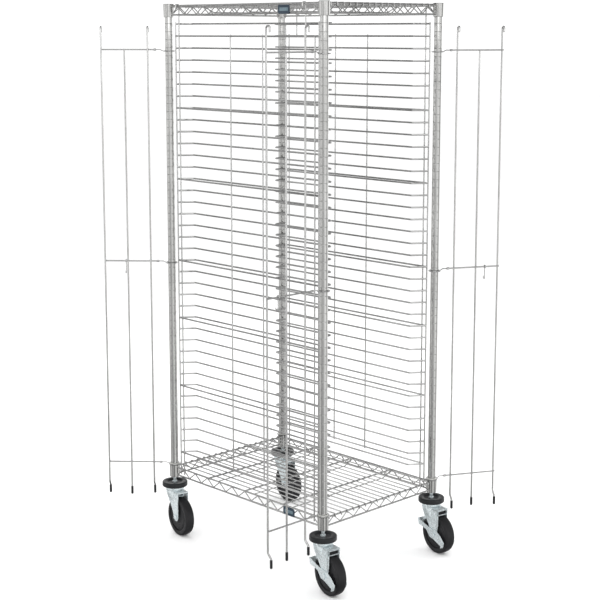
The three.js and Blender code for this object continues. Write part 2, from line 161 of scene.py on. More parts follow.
# Casters: x along the trail, y along the axle
TRAIL = 38 * MM
WHEEL_RADIUS = 63.5 * MM
TYRE_HALF = 15.5 * MM
TYRE_INNER = 47 * MM
TYRE_ROUND = 5 * MM
HUB_RINGS = [22 * MM, 29 * MM, 36 * MM]
FORK_OUTER = 20.7 * MM
FORK_SHEET = 2.6 * MM
FORK_EYE = 14 * MM
RIVET = [(AXIS_RADIUS, -1 * MM), (4.2 * MM, -1 * MM), (4.2 * MM, 0.4 * MM)]
RIVET += [(2.4 * MM, 1.4 * MM), (AXIS_RADIUS, 1.7 * MM)]
FORK_TOP = 0.148
FORK_TAPER_LOW = 0.104
FORK_LEAD_LOW = 0.119
CUP_RADIUS = 30 * MM
CUP_ARCH = 12 * MM
LEG_START = 26 * MM
CROWN_SHEET = 4 * MM
CROWN_FLARE = [20 * MM, 14 * MM, 8 * MM]
HOUSING_X = [53 * MM, 57 * MM]
HOUSING_LOW = 0.1287
SLOT_Z = [0.131, 0.1425]
SLOT_HALF = 17.5 * MM
GUSSET = [(49, 147), (57, 147), (57, 100), (52, 70), (49, 70)]
SHOE_X = [43 * MM, 51.5 * MM]
SHOE_Z = [0.1292, 0.1425]
RACEWAY_LOW = 0.1485
RACEWAY_TOP = 0.1597
RACEWAY_RADIUS = 31 * MM
BUMPER_LOW = 0.160
BUMPER_TOP = 0.176
BUMPER_RADIUS = 42 * MM
STEM_RADIUS = 5.5 * MM
WASHER_RADIUS = 11.5 * MM
STEM_NUT_RADIUS = 8.2 * MM
AXLE_RADIUS = 5.9 * MM
AXLE_REACH = 25 * MM
NUT_START = 21.1 * MM
NUT_RADIUS = 9.4 * MM
LEVER_SPACE = 2.8 * MM

# Brake levers, measured from the axle's centre in the wheel's plane
ARM_INNER = 21.3 * MM
ARM_OUTER = 23.5 * MM
LEVER_SHEET = 2.8 * MM
TOE_REACH = 31.8 * MM
PEDAL = [(-76 * MM, 34.5 * MM), (-70 * MM, 13.5 * MM)]
TOE = [(50.5 * MM, -16 * MM), (46 * MM, -30.5 * MM)]
ARM_OUTLINE = [
    (-75, 34), (-48, 26), (-26, 20), (-6, 16), (15, 15), (34, 4), (52, -14), (51, -20),
    (46, -32), (26, -25), (6, -17), (-17, -12), (-34, 7), (-52, 12), (-69, 14),
]


def ring_faces(count, sides, closed):
    """Quads between rings of points that follow each other, and back to the first if closed."""
    faces = []
    for i in range(count if closed else count - 1):
        j = (i + 1) % count
        for k in range(sides):
            m = (k + 1) % sides
            faces.append((i * sides + k, i * sides + m, j * sides + m, j * sides + k))
    return faces


def sweep_frames(path, closed):
    """At each point of the path: the point, the way along, the way across and a scale."""
    count = len(path)
    frames = []
    side = None
    for i, point in enumerate(path):
        before = path[i - 1] if closed or i else path[i]
        after = path[(i + 1) % count] if closed or i + 1 < count else path[i]
        along = (after - before).normalized()
        if side is None:
            start = Vector((0, 0, 1)) if abs(along.z) < 0.9 else Vector((1, 0, 0))
            side = along.cross(start).normalized()
        side = (side - along * side.dot(along)).normalized()
        frames.append((point, along, side, 1.0))
    return frames


class Mesh:
    """Collects tubes, turned pieces and plates into one mesh."""

    def __init__(self, place=None):
        self.points = []
        self.faces = []
        self.place = place or Matrix.Identity(4)

    def add(self, points, faces):
        first = len(self.points)
        self.points.extend(self.place @ Vector(p) for p in points)
        self.faces.extend([first + i for i in face] for face in faces)

    def tube(self, path, radius, sides=10, closed=False):
        """A round wire along the path, with domed ends."""
        rings = sweep_frames([Vector(p) for p in path], closed)
        if not closed:
            point, along, side, _ = rings[0]
            rings.insert(0, (point - along * radius * DOME_REACH, along, side, DOME_SCALE))
            point, along, side, _ = rings[-1]
            rings.append((point + along * radius * DOME_REACH, along, side, DOME_SCALE))
        points = []
        for point, along, across, scale in rings:
            up = along.cross(across)
            for a, b in circle(1.0, sides):
                points.append(point + (across * a + up * b) * radius * scale)
        faces = ring_faces(len(rings), sides, closed)
        if not closed:
            last = (len(rings) - 1) * sides
            faces.append(tuple(reversed(range(sides))))
            faces.append(tuple(range(last, last + sides)))
        self.add(points, faces)

    def turned(self, profile, sides=40, centre=(0, 0, 0), axis="z"):
        """A closed profile of (radius, height) pairs, turned about the axis."""
        centre = Vector(centre)
        points = []
        for radius, height in profile:
            for a, b in circle(radius, sides):
                local = Vector((a, b, height)) if axis == "z" else Vector((b, height, a))
                points.append(centre + local)
        self.add(points, ring_faces(len(profile), sides, True))

    def plate(self, outline, low, high):
        """An outline of (x, z) pairs, as a plate from y = low to y = high."""
        count = len(outline)
        points = [(x, low, z) for x, z in outline] + [(x, high, z) for x, z in outline]
        faces = [tuple(range(count)), tuple(reversed(range(count, 2 * count)))]
        for k in range(count):
            m = (k + 1) % count
            faces.append((k, k + count, m + count, m))
        self.add(points, faces)

    def build(self, name, material, body, replaces=(), bevel=0.0, smooth=math.radians(40)):
        data = bpy.data.meshes.new(name)
        data.from_pydata([tuple(p) for p in self.points], [], self.faces)
        data.update()
        data.validate()
        piece = bpy.data.objects.new(name, data)
        bpy.context.scene.collection.objects.link(piece)
        data.materials.append(material)
        tidy_normals(piece, bevel, smooth)
        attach(piece, body)
        if replaces:
            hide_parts(*replaces)
        return piece


def tidy_normals(piece, bevel, smooth):
    bpy.context.view_layer.objects.active = piece
    piece.select_set(True)
    bpy.ops.object.mode_set(mode="EDIT")
    bpy.ops.mesh.select_all(action="SELECT")
    bpy.ops.mesh.normals_make_consistent(inside=False)
    bpy.ops.object.mode_set(mode="OBJECT")
    if bevel:
        edges = piece.modifiers.new("edges", "BEVEL")
        edges.width = bevel
        edges.segments = 2
        edges.limit_method = "ANGLE"
        edges.angle_limit = math.radians(35)
    bpy.ops.object.shade_smooth_by_angle(angle=smooth)
    piece.select_set(False)


def rounded(path, bend, steps=4):
    """The path with each corner turned into an arc of that bend radius."""
    path = [Vector(p) for p in path]
    result = [path[0]]
    for before, corner, after in zip(path, path[1:], path[2:]):
        one = before - corner
        two = after - corner
        half = one.angle(two) / 2
        reach = min(bend / math.tan(half), one.length * 0.48, two.length * 0.48)
        start = corner + one.normalized() * reach
        end = corner + two.normalized() * reach
        for i in range(steps + 1):
            t = i / steps
            result.append(start * (1 - t) ** 2 + corner * 2 * t * (1 - t) + end * t ** 2)
    result.append(path[-1])
    return result


def arc(centre, radius, start, end, steps):
    """Points of an arc in the profile plane, angles in degrees."""
    points = []
    for i in range(steps + 1):
        angle = math.radians(start + (end - start) * i / steps)
        points.append((centre[0] + radius * math.cos(angle), centre[1] + radius * math.sin(angle)))
    return points


def circle(radius, count):
    """Points (a, b) evenly round a circle."""
    angles = [2 * math.pi * i / count for i in range(count)]
    return [(radius * math.cos(angle), radius * math.sin(angle)) for angle in angles]


# Materials
def principled(name, color, metallic, roughness):
    material = bpy.data.materials.new(name)
    material.use_nodes = True
    shader = material.node_tree.nodes["Principled BSDF"]
    shader.inputs["Base Color"].default_value = (*color, 1)
    shader.inputs["Metallic"].default_value = metallic
    shader.inputs["Roughness"].default_value = roughness
    return material, shader


def noise(material, scale, detail=3.0, stretch=(1, 1, 1)):
    nodes, links = material.node_tree.nodes, material.node_tree.links
    place = nodes.new("ShaderNodeTexCoord")
    mapping = nodes.new("ShaderNodeMapping")
    mapping.inputs["Scale"].default_value = stretch
    texture = nodes.new("ShaderNodeTexNoise")
    texture.inputs["Scale"].default_value = scale
    texture.inputs["Detail"].default_value = detail
    links.new(place.outputs["Object"], mapping.inputs["Vector"])
    links.new(mapping.outputs["Vector"], texture.inputs["Vector"])
    return texture.outputs["Fac"]


def vary(material, source, socket, low, high):
    """The socket runs from low to high with the source."""
    nodes, links = material.node_tree.nodes, material.node_tree.links
    ramp = nodes.new("ShaderNodeMapRange")
    ramp.inputs["From Min"].default_value = 0.3
    ramp.inputs["From Max"].default_value = 0.7
    ramp.inputs["To Min"].default_value = low
    ramp.inputs["To Max"].default_value = high
    links.new(source, ramp.inputs["Value"])
    links.new(ramp.outputs["Result"], socket)


def tint(material, source, socket, dark, light):
    nodes, links = material.node_tree.nodes, material.node_tree.links
    ramp = nodes.new("ShaderNodeValToRGB")
    ramp.color_ramp.elements[0].position = 0.3
    ramp.color_ramp.elements[0].color = (*dark, 1)
    ramp.color_ramp.elements[1].position = 0.7
    ramp.color_ramp.elements[1].color = (*light, 1)
    links.new(source, ramp.inputs["Fac"])
    links.new(ramp.outputs["Color"], socket)


def bump(material, shader, source, strength, distance):
    nodes, links = material.node_tree.nodes, material.node_tree.links
    node = nodes.new("ShaderNodeBump")
    node.inputs["Strength"].default_value = strength
    node.inputs["Distance"].default_value = distance
    links.new(source, node.inputs["Height"])
    links.new(node.outputs["Normal"], shader.inputs["Normal"])


def metal(name, dark, light, smooth, rough, grain_scale, grain, metallic=1.0):
    material, shader = principled(name, light, metallic, smooth)
    cloud = noise(material, 9.0)
    tint(material, cloud, shader.inputs["Base Color"], dark, light)
    vary(material, noise(material, 60.0, 5.0), shader.inputs["Roughness"], smooth, rough)
    bump(material, shader, noise(material, grain_scale, 2.0), grain, 0.0004)
    return material


def rubber(name, dark, light, smooth, rough, grain_scale, grain):
    material, shader = principled(name, light, 0.0, smooth)
    shader.inputs["Specular IOR Level"].default_value = 0.3
    tint(material, noise(material, 14.0, 4.0), shader.inputs["Base Color"], dark, light)
    vary(material, noise(material, 90.0, 4.0), shader.inputs["Roughness"], smooth, rough)
    bump(material, shader, noise(material, grain_scale, 3.0), grain, 0.0005)
    return material


CHROME = metal("chrome_wire", (0.50, 0.50, 0.495), (0.65, 0.65, 0.645), 0.12, 0.24, 900.0, 0.05)
POST_CHROME = metal("chrome_tube", (0.45, 0.45, 0.44), (0.56, 0.56, 0.55), 0.05, 0.09, 700.0, 0.03)
ZINC = metal("zinc_plate", (0.70, 0.77, 0.79), (0.86, 0.93, 0.95), 0.20, 0.34, 500.0, 0.10, 0.65)
BUMPER_BLACK = rubber("bumper_vinyl", (0.008, 0.009, 0.010), (0.020, 0.021, 0.023), 0.30, 0.48, 420.0, 0.20)
WHEEL_BLACK = rubber("wheel_rubber", (0.006, 0.006, 0.007), (0.016, 0.016, 0.018), 0.34, 0.55, 320.0, 0.25)
HUB_BLACK = rubber("hub_plastic", (0.008, 0.008, 0.009), (0.020, 0.020, 0.022), 0.26, 0.42, 520.0, 0.15)
TIP_BLACK = rubber("tip_vinyl", (0.006, 0.006, 0.007), (0.014, 0.014, 0.016), 0.26, 0.42, 600.0, 0.12)
CAP_GREY = rubber("cap_plastic", (0.50, 0.50, 0.48), (0.62, 0.62, 0.60), 0.35, 0.50, 500.0, 0.12)
SLEEVE_GREY = rubber("sleeve_plastic", (0.52, 0.52, 0.49), (0.66, 0.66, 0.63), 0.35, 0.52, 500.0, 0.12)
LABEL_DARK = rubber("label_slate", (0.020, 0.034, 0.050), (0.034, 0.052, 0.072), 0.18, 0.30, 300.0, 0.05)
LABEL_PALE = rubber("label_field", (0.10, 0.15, 0.18), (0.15, 0.20, 0.23), 0.22, 0.34, 300.0, 0.05)


# Posts and caps
def make_post(name):
    profile = [(POST_RADIUS - POST_CHAMFER, POST_LOW), (POST_RADIUS, POST_LOW)]
    grooves = int((POST_HIGH - POST_LOW) / GROOVE_PITCH)
    for i in range(1, grooves):
        z = POST_LOW + i * GROOVE_PITCH
        profile.append((POST_RADIUS, z - GROOVE_HALF))
        profile.append((POST_RADIUS - GROOVE_DEPTH, z))
        profile.append((POST_RADIUS, z + GROOVE_HALF))
    profile += [(POST_RADIUS, POST_HIGH), (POST_RADIUS - POST_CHAMFER, POST_HIGH)]
    mesh = Mesh(Matrix.Translation(POST_AT[name]))
    mesh.turned(profile, 36)
    replaces = [f"{name}_post"]
    mesh.build(f"{name}_round_post", POST_CHROME, "rack", replaces, smooth=POST_SMOOTH)


def make_cap(name):
    foot = POST_HIGH + 0.3 * MM
    edge = 1.6 * MM
    dimple = CAP_TOP - 0.6 * MM
    profile = [(AXIS_RADIUS, foot), (POST_RADIUS, foot)]
    profile += arc((POST_RADIUS - edge, CAP_TOP - edge), edge, 0, 90, 5)
    profile += [(POST_RADIUS * 0.5, CAP_TOP), (POST_RADIUS * 0.45, dimple), (AXIS_RADIUS, dimple)]
    mesh = Mesh(Matrix.Translation(POST_AT[name]))
    mesh.turned(profile, 32)
    mesh.build(f"{name}_round_cap", CAP_GREY, "rack", [f"{name}_cap"])


def make_sleeve(name, foot, level):
    high = foot + COLLAR_HEIGHT + (SLEEVE_RISE if level == "bottom" else -1 * MM)
    waist = SLEEVE_RADIUS - 0.4 * MM
    profile = [(SLEEVE_BORE, foot), (SLEEVE_RADIUS, foot), (waist, high - 1 * MM)]
    profile += [(waist - 0.8 * MM, high), (SLEEVE_BORE, high)]
    mesh = Mesh(Matrix.Translation(POST_AT[name]))
    mesh.turned(profile, 32)
    replaces = [f"{name}_sleeve"] if level == "bottom" else []
    mesh.build(f"{name}_{level}_split_sleeve", SLEEVE_GREY, "rack", replaces)


# Shelves
def side_place(name_of_axis, across):
    """Points along one rim side: distance along it and height, at its place across."""
    if name_of_axis == "x":
        return lambda along, z, out=0.0: Vector((along, across + math.copysign(out, across), z))
    return lambda along, z, out=0.0: Vector((across + math.copysign(out, across), along, z))


def rim_side(mesh, place, half, foot):
    end = half - COLLAR_BORE - 1 * MM
    for level in (RIM_LOW, RIM_HIGH):
        mesh.tube([place(-end, foot + level), place(end, foot + level)], RIM_WIRE, 12)
    waves = round(2 * end / STRUT_PITCH)
    step = 2 * end / (2 * waves)
    path = []
    for i in range(2 * waves + 1):
        level = RIM_HIGH - 1.2 * MM if i % 2 else RIM_LOW + 1.2 * MM
        path.append(place(-end + i * step, foot + level))
    mesh.tube(rounded(path, 7 * MM, 5), STRUT_WIRE, 8)


def make_shelf(name):
    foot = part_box(name)[0].z
    mesh = Mesh(Matrix.Translation(RACK))
    for side in (-1, 1):
        rim_side(mesh, side_place("x", side * POST_Y), POST_X, foot)
        rim_side(mesh, side_place("y", side * POST_X), POST_Y, foot)
    for y in SUPPORT_Y:
        height = foot + RIM_HIGH
        mesh.tube([(-POST_X, y, height), (POST_X, y, height)], RIM_WIRE, 12)
        low = foot + RIM_LOW + 6 * MM
        drop = [(-POST_X, y, height - 2 * MM), (-POST_X + SUPPORT_SLOPE, y, low)]
        drop += [(POST_X - SUPPORT_SLOPE, y, low), (POST_X, y, height - 2 * MM)]
        mesh.tube(rounded(drop, 20 * MM, 5), STRUT_WIRE, 8)
    top = foot + RIM_HIGH + MAT_LIFT
    low = top - MAT_END_DROP
    reach = POST_Y + RIM_WIRE + MAT_WIRE - 0.4 * MM
    for i in range(MAT_COUNT):
        x = MAT_EDGE * (2 * i / (MAT_COUNT - 1) - 1)
        path = [(x, -reach, low), (x, -reach, top), (x, reach, top), (x, reach, low)]
        mesh.tube(rounded(path, 3.5 * MM, 4), MAT_WIRE, 8)
    mesh.build(f"{name}_wires", CHROME, "rack", [name])
    for post in POST_NAMES:
        make_collar(post, name, foot)


def make_collar(post, shelf, foot):
    high = foot + COLLAR_HEIGHT
    edge = 1.2 * MM
    narrow = COLLAR_RADIUS - 1 * MM
    profile = [(COLLAR_BORE, foot), (narrow - edge, foot), (narrow, foot + edge)]
    profile += [(COLLAR_RADIUS, high - edge), (COLLAR_RADIUS - edge, high), (COLLAR_BORE, high)]
    mesh = Mesh(Matrix.Translation(POST_AT[post]))
    mesh.turned(profile, 36)
    mesh.build(f"{post}_{shelf}_collar", POST_CHROME, "rack")


# Slide panels
def make_panel(name, turn):
    mesh = Mesh(Matrix.Translation(RACK) @ Matrix.Rotation(turn, 4, "Z"))

    def at(u, v, z):
        return Vector((v - POST_X, POST_Y - u, z))

    for row in range(LEDGE_COUNT):
        z = LEDGE_TOP - row * LEDGE_PITCH
        corners = [at(ANGLED_END, PANEL_OUTER, z), at(ANGLED_KNEE, PANEL_INNER, z)]
        corners += [at(SQUARE_CORNER, PANEL_INNER, z), at(SQUARE_END, PANEL_OUTER, z)]
        mesh.tube(rounded(corners, 9 * MM, 5), LEDGE_WIRE, 8)
        if row in STIFFENER_ROWS:
            mesh.tube([at(ANGLED_END, PANEL_OUTER, z), at(SQUARE_END, PANEL_OUTER, z)], LEDGE_WIRE, 8)
    first = LEDGE_TOP - LEDGE_PITCH
    last = LEDGE_TOP - (LEDGE_COUNT - 1) * LEDGE_PITCH
    uprights = [(u, PANEL_FOOT, LEDGE_TOP + WIRE_PAST) for u in (ANGLED_END, SQUARE_END)]
    uprights += [(u, last - WIRE_PAST, first + WIRE_PAST) for u in MIDDLE_UPRIGHTS]
    uprights += [(u, PANEL_FOOT, first + WIRE_PAST) for u in SIDE_UPRIGHTS]
    for u, low, high in uprights:
        mesh.tube([at(u, PANEL_OUTER, low), at(u, PANEL_OUTER, high)], UPRIGHT_WIRE, 10)
    for u in HOOK_U:
        corners = [at(u, PANEL_OUTER, first - WIRE_PAST), at(u, PANEL_OUTER, HOOK_TOP)]
        corners += [at(u, -PANEL_OUTER, HOOK_TOP), at(u, -PANEL_OUTER, HOOK_TOP - HOOK_DROP)]
        mesh.tube(rounded(corners, 5 * MM, 5), HOOK_WIRE, 10)
    mesh.build(f"{name}_wires", CHROME, "rack", [name])


# Gates
def gate_place(name):
    """The gate's own frame: x along the gate, -y to its outer side, turned to its rest opening."""
    swing = JOINTS[f"{name}_gate_swing"]
    opening = math.radians(-swing["range_deg"][0])
    post = POST_AT[name]
    flip = swing["axis"][2] > 0
    inward = math.pi if post.x > RACK.x else 0
    turn = inward + (opening if flip else -opening)
    mirror = Matrix.Scale(-1, 4, (0, 1, 0)) if flip else Matrix.Identity(4)
    return Matrix.Translation(post) @ Matrix.Rotation(turn, 4, "Z") @ mirror


def make_gate(name):
    place = gate_place(name)
    mesh = Mesh(place)
    tips = Mesh(place)

    def at(w, n, z):
        return Vector((w, -n, z))

    rod_foot = TIP_TOP - 2 * MM
    tip_n = ROD_N - JOGGLE
    for w in (ROD_W[0], ROD_W[2]):
        path = [at(w, ROD_N - GATE_HOOK_REACH, ROD_TOP - GATE_HOOK_DROP)]
        path += [at(w, ROD_N - GATE_HOOK_REACH, ROD_TOP), at(w, ROD_N, ROD_TOP)]
        path += [at(w, ROD_N, JOGGLE_TOP), at(w, tip_n, JOGGLE_LOW), at(w, tip_n, rod_foot)]
        mesh.tube(rounded(path, 7 * MM, 6), ROD_WIRE, 12)
        make_tip(tips, at(w, tip_n, 0))
    w = ROD_W[1]
    mesh.tube([at(w, ROD_N, rod_foot), at(w, ROD_N, CROSSBAR_Z[2])], ROD_WIRE, 12)
    make_tip(tips, at(w, ROD_N, 0))
    for z in CROSSBAR_Z:
        mesh.tube([at(CLIP_W[0], CROSSBAR_N, z), at(CROSSBAR_END, CROSSBAR_N, z)], CROSSBAR_WIRE, 12)
        mesh.tube([at(CLIP_W[0], CROSSBAR_N, z), at(CLIP_W[1], CROSSBAR_N, z)], CLIP_RADIUS, 12)
        link = [at(LOOP_RADIUS, 0, z - LOOP_DROP), at(LINK_BEND_W, CROSSBAR_N, z)]
        link.append(at(CLIP_W[0] + 1 * MM, CROSSBAR_N, z))
        mesh.tube(rounded(link, 4 * MM, 5), LINK_WIRE, 8)
    mesh.build(f"{name}_gate_wires", CHROME, f"{name}_gate", [f"{name}_gate"])
    tips.build(f"{name}_gate_tips", TIP_BLACK, f"{name}_gate")
    for level, z in zip(("lower", "middle", "upper"), CROSSBAR_Z):
        make_loop(name, level, z - LOOP_DROP)
    make_latch(name, place)


def make_tip(mesh, foot):
    edge = 1.5 * MM
    profile = [(AXIS_RADIUS, TIP_LOW), (TIP_RADIUS - edge, TIP_LOW), (TIP_RADIUS, TIP_LOW + edge)]
    profile += [(TIP_RADIUS, TIP_TOP - edge), (TIP_RADIUS - 0.8 * MM, TIP_TOP), (AXIS_RADIUS, TIP_TOP)]
    mesh.turned(profile, 16, foot)


def make_loop(name, level, z):
    mesh = Mesh(Matrix.Translation(POST_AT[name]))
    mesh.tube([(x, y, z) for x, y in circle(LOOP_RADIUS, 28)], LOOP_WIRE, 10, closed=True)
    mesh.build(f"{name}_{level}_ring", CHROME, f"{name}_loops", [f"{name}_{level}_loop"])


def make_latch(name, place):
    turn = JOINTS[f"{name}_latch_turn"]
    mesh = Mesh(place @ Matrix.Translation(place.inverted() @ Vector(turn["pos_m"])))
    mesh.tube([(0, y, z) for y, z in circle(LATCH_EYE, 20)], LATCH_WIRE, 8, closed=True)
    shank = [(0, 0, -LATCH_EYE), (0, 0, -LATCH_LENGTH), (0, -LATCH_REACH, -LATCH_LENGTH)]
    shank.append((0, -LATCH_REACH, LATCH_RISE - LATCH_LENGTH))
    mesh.tube(rounded(shank, 4.8 * MM, 6), LATCH_WIRE, 8)
    mesh.build(f"{name}_latch_wire", CHROME, f"{name}_latch", [f"{name}_latch_hook"])


# Casters
def caster_place(name):
    """The caster's own frame at rest, with x towards the wheel."""
    post = POST_AT[name]
    trail = middle(f"{name}_wheel") - post
    return Matrix.Translation(post) @ Matrix.Rotation(math.atan2(trail.y, trail.x), 4, "Z")


def make_caster(name):
    place = caster_place(name)
    braked = f"{name}_brake_pedal" in frame["nodes"]
    make_stem(name, place)
    make_bumper(name, place)
    make_fork(name, place, braked)
    make_wheel(name, place)
    make_axle(name, place, braked)
    if braked:
        make_lever(name, place)


def make_stem(name, place):
    mesh = Mesh(place)
    low, high = RACEWAY_TOP - 1 * MM, POST_LOW + 30 * MM
    mesh.turned([(AXIS_RADIUS, low), (STEM_RADIUS, low), (STEM_RADIUS, high), (AXIS_RADIUS, high)], 28)
    high = POST_LOW - 0.4 * MM
    low = high - 1.6 * MM
    mesh.turned([(AXIS_RADIUS, low), (WASHER_RADIUS, low), (WASHER_RADIUS, high), (AXIS_RADIUS, high)], 28)
    high = BUMPER_TOP + 1 * MM
    low = high - 6 * MM
    nut = [(AXIS_RADIUS, low), (STEM_NUT_RADIUS, low), (STEM_NUT_RADIUS, high - 1 * MM)]
    nut += [(STEM_NUT_RADIUS - 1 * MM, high), (AXIS_RADIUS, high)]
    mesh.turned(nut, 6)
    edge = 4 * MM
    race = [(AXIS_RADIUS, RACEWAY_LOW), (RACEWAY_RADIUS - 2.5 * MM, RACEWAY_LOW)]
    race += [(RACEWAY_RADIUS - 2.5 * MM, RACEWAY_LOW + 2 * MM), (RACEWAY_RADIUS, RACEWAY_LOW + 3.2 * MM)]
    race += arc((RACEWAY_RADIUS - edge, RACEWAY_TOP - edge), edge, 0, 90, 7)
    race += [(AXIS_RADIUS, RACEWAY_TOP)]
    mesh.turned(race, 48)
    mesh.build(f"{name}_stem_race", ZINC, "rack", [f"{name}_caster_stem"])


def make_bumper(name, place):
    mesh = Mesh(place)
    edge = 3.2 * MM
    dish = BUMPER_TOP - 4.5 * MM
    profile = [(6.5 * MM, BUMPER_LOW)]
    profile += arc((BUMPER_RADIUS - edge, BUMPER_LOW + edge), edge, -90, 0, 6)
    profile += arc((BUMPER_RADIUS - edge, BUMPER_TOP - edge), edge, 0, 90, 6)
    profile += [(28 * MM, BUMPER_TOP), (26.5 * MM, BUMPER_TOP - 0.8 * MM)]
    profile += [(23 * MM, dish), (6.5 * MM, dish)]
    mesh.turned(profile, 64)
    mesh.build(f"{name}_round_bumper", BUMPER_BLACK, "rack", [f"{name}_bumper"])


def ease(t):
    """Runs smoothly from 0 to 1 as t does."""
    t = min(max(t, 0), 1)
    return t * t * (3 - 2 * t)


def cup_radius(z):
    """The pressed cup under the race: round and wide at the top, narrowing to the legs."""
    return FORK_OUTER + (CUP_RADIUS - FORK_OUTER) * ease((z - FORK_TAPER_LOW) / (FORK_TOP - FORK_TAPER_LOW))


def fork_columns():
    """Columns of the fork's sheet as (x, angle, side, lowest z), from one leg round to the other."""
    leg = []
    for i in range(13):
        angle = math.pi * i / 12
        leg.append((TRAIL + FORK_EYE * math.cos(angle), None, WHEEL_RADIUS - FORK_EYE * math.sin(angle)))
    front = TRAIL - FORK_EYE
    start = WHEEL_RADIUS + 3 * MM
    for i in range(1, 9):
        t = i / 8
        leg.append((front * (1 - t), None, start + (FORK_LEAD_LOW - CUP_ARCH - start) * t ** 0.8))
    cup = []
    for i in range(1, 18):
        angle = math.radians(90 + 10 * i)
        rise = CUP_ARCH * (1 - abs(math.sin(angle)))
        cup.append((None, angle, FORK_LEAD_LOW - CUP_ARCH + rise))
    left = [(x, angle, 1, low) for x, angle, low in leg]
    round_front = [(x, angle, 0, low) for x, angle, low in cup]
    right = [(x, angle, -1, low) for x, angle, low in reversed(leg)]
    return left + round_front + right


def fork_point(column, z, inset):
    x, angle, side, _ = column
    reach = cup_radius(z) - inset
    if angle is not None:
        return Vector((reach * math.cos(angle), reach * math.sin(angle), z))
    spread = ease(1 - x / LEG_START)
    width = FORK_OUTER - inset + (reach - FORK_OUTER + inset) * spread
    return Vector((x, side * width, z))


def fork_skirt(mesh):
    rows = 9
    columns = fork_columns()
    points = []
    for column in columns:
        low = column[3]
        heights = [FORK_TOP - 1 * MM + (low - FORK_TOP + 1 * MM) * j / (rows - 1) for j in range(rows)]
        points += [fork_point(column, z, 0) for z in heights]
        points += [fork_point(column, z, FORK_SHEET) for z in reversed(heights)]
    loop = 2 * rows
    faces = [tuple(range(loop)), tuple(reversed(range(len(points) - loop, len(points))))]
    for i in range(len(columns) - 1):
        for k in range(loop):
            m = (k + 1) % loop
            faces.append((i * loop + k, (i + 1) * loop + k, (i + 1) * loop + m, i * loop + m))
    mesh.add(points, faces)


def crown_plate(mesh, rear):
    """The fork's flat top: round in front, square behind."""
    flare = [(x, fork_point((x, None, 1, 0), FORK_TOP, 0).y) for x in CROWN_FLARE]
    outline = [(rear, -FORK_OUTER), (rear, FORK_OUTER), (LEG_START, FORK_OUTER)]
    outline += flare
    outline += arc((0, 0), CUP_RADIUS, 90, 270, 18)
    outline += [(x, -y) for x, y in reversed(flare)]
    outline += [(LEG_START, -FORK_OUTER)]
    count = len(outline)
    points = [(x, y, FORK_TOP - CROWN_SHEET) for x, y in outline]
    points += [(x, y, FORK_TOP) for x, y in outline]
    faces = [tuple(reversed(range(count))), tuple(range(count, 2 * count))]
    faces += [(k, (k + 1) % count, (k + 1) % count + count, k + count) for k in range(count)]
    mesh.add(points, faces)


def box(mesh, low, high):
    (x0, y0, z0), (x1, y1, z1) = low, high
    mesh.plate([(x0, z0), (x1, z0), (x1, z1), (x0, z1)], y0, y1)


def brake_housing(mesh):
    """A sheet across the legs over the tread, with a slot in it."""
    front, rear = HOUSING_X
    box(mesh, (front, -FORK_OUTER, HOUSING_LOW), (rear, FORK_OUTER, SLOT_Z[0]))
    box(mesh, (front, -FORK_OUTER, SLOT_Z[1]), (rear, FORK_OUTER, FORK_TOP - 0.5 * MM))
    for side in (-1, 1):
        inner, outer = sorted((side * SLOT_HALF, side * FORK_OUTER))
        box(mesh, (front, inner, SLOT_Z[0] - 1 * MM), (rear, outer, SLOT_Z[1] + 1 * MM))
        inner, outer = sorted((side * (FORK_OUTER - FORK_SHEET), side * FORK_OUTER))
        mesh.plate([(x * MM, z * MM) for x, z in GUSSET], inner, outer)


def make_fork(name, place, braked):
    mesh = Mesh(place)
    fork_skirt(mesh)
    crown_plate(mesh, HOUSING_X[1] if braked else TRAIL + FORK_EYE)
    for side in (-1, 1):
        rivet = [(radius, side * (FORK_OUTER + out)) for radius, out in RIVET]
        mesh.turned(rivet, 20, (TRAIL, 0, FORK_TOP - 17 * MM), "y")
    if braked:
        brake_housing(mesh)
    mesh.build(f"{name}_fork_plate", ZINC, f"{name}_swivel", [f"{name}_fork"], bevel=0.4 * MM)
    if braked:
        shoe = Mesh(place)
        box(shoe, (SHOE_X[0], -SLOT_HALF, SHOE_Z[0]), (SHOE_X[1], SLOT_HALF, SHOE_Z[1]))
        shoe.build(f"{name}_brake_shoe", TIP_BLACK, f"{name}_swivel", bevel=1.2 * MM)


def tyre_profile():
    shoulder = WHEEL_RADIUS - TYRE_ROUND - 0.7 * MM
    profile = [(TYRE_INNER, TYRE_HALF - 2.2 * MM), (TYRE_INNER + 1.6 * MM, TYRE_HALF - 0.4 * MM)]
    profile += [(TYRE_INNER + 3 * MM, TYRE_HALF), (shoulder - 2 * MM, TYRE_HALF)]
    profile += arc((shoulder, TYRE_HALF - TYRE_ROUND), TYRE_ROUND, 80, 8, 7)
    profile += [(WHEEL_RADIUS - 0.1 * MM, TYRE_HALF * 0.35)]
    mirrored = [(radius, -height) for radius, height in reversed(profile)]
    return profile + [(WHEEL_RADIUS, 0)] + mirrored


def hub_profile():
    """The hub's face, with shallow rings, from the bore out to the tyre."""
    face = [(6.5 * MM, 16 * MM), (13 * MM, 16 * MM), (14 * MM, 15 * MM), (16 * MM, 13.6 * MM)]
    for radius in HUB_RINGS:
        face += [(radius, 13.2 * MM), (radius + 0.7 * MM, 12.4 * MM), (radius + 1.6 * MM, 13.2 * MM)]
    face += [(43 * MM, 13.2 * MM), (45 * MM, 11.6 * MM), (TYRE_INNER + 0.4 * MM, 11.6 * MM)]
    return face + [(radius, -height) for radius, height in reversed(face)]


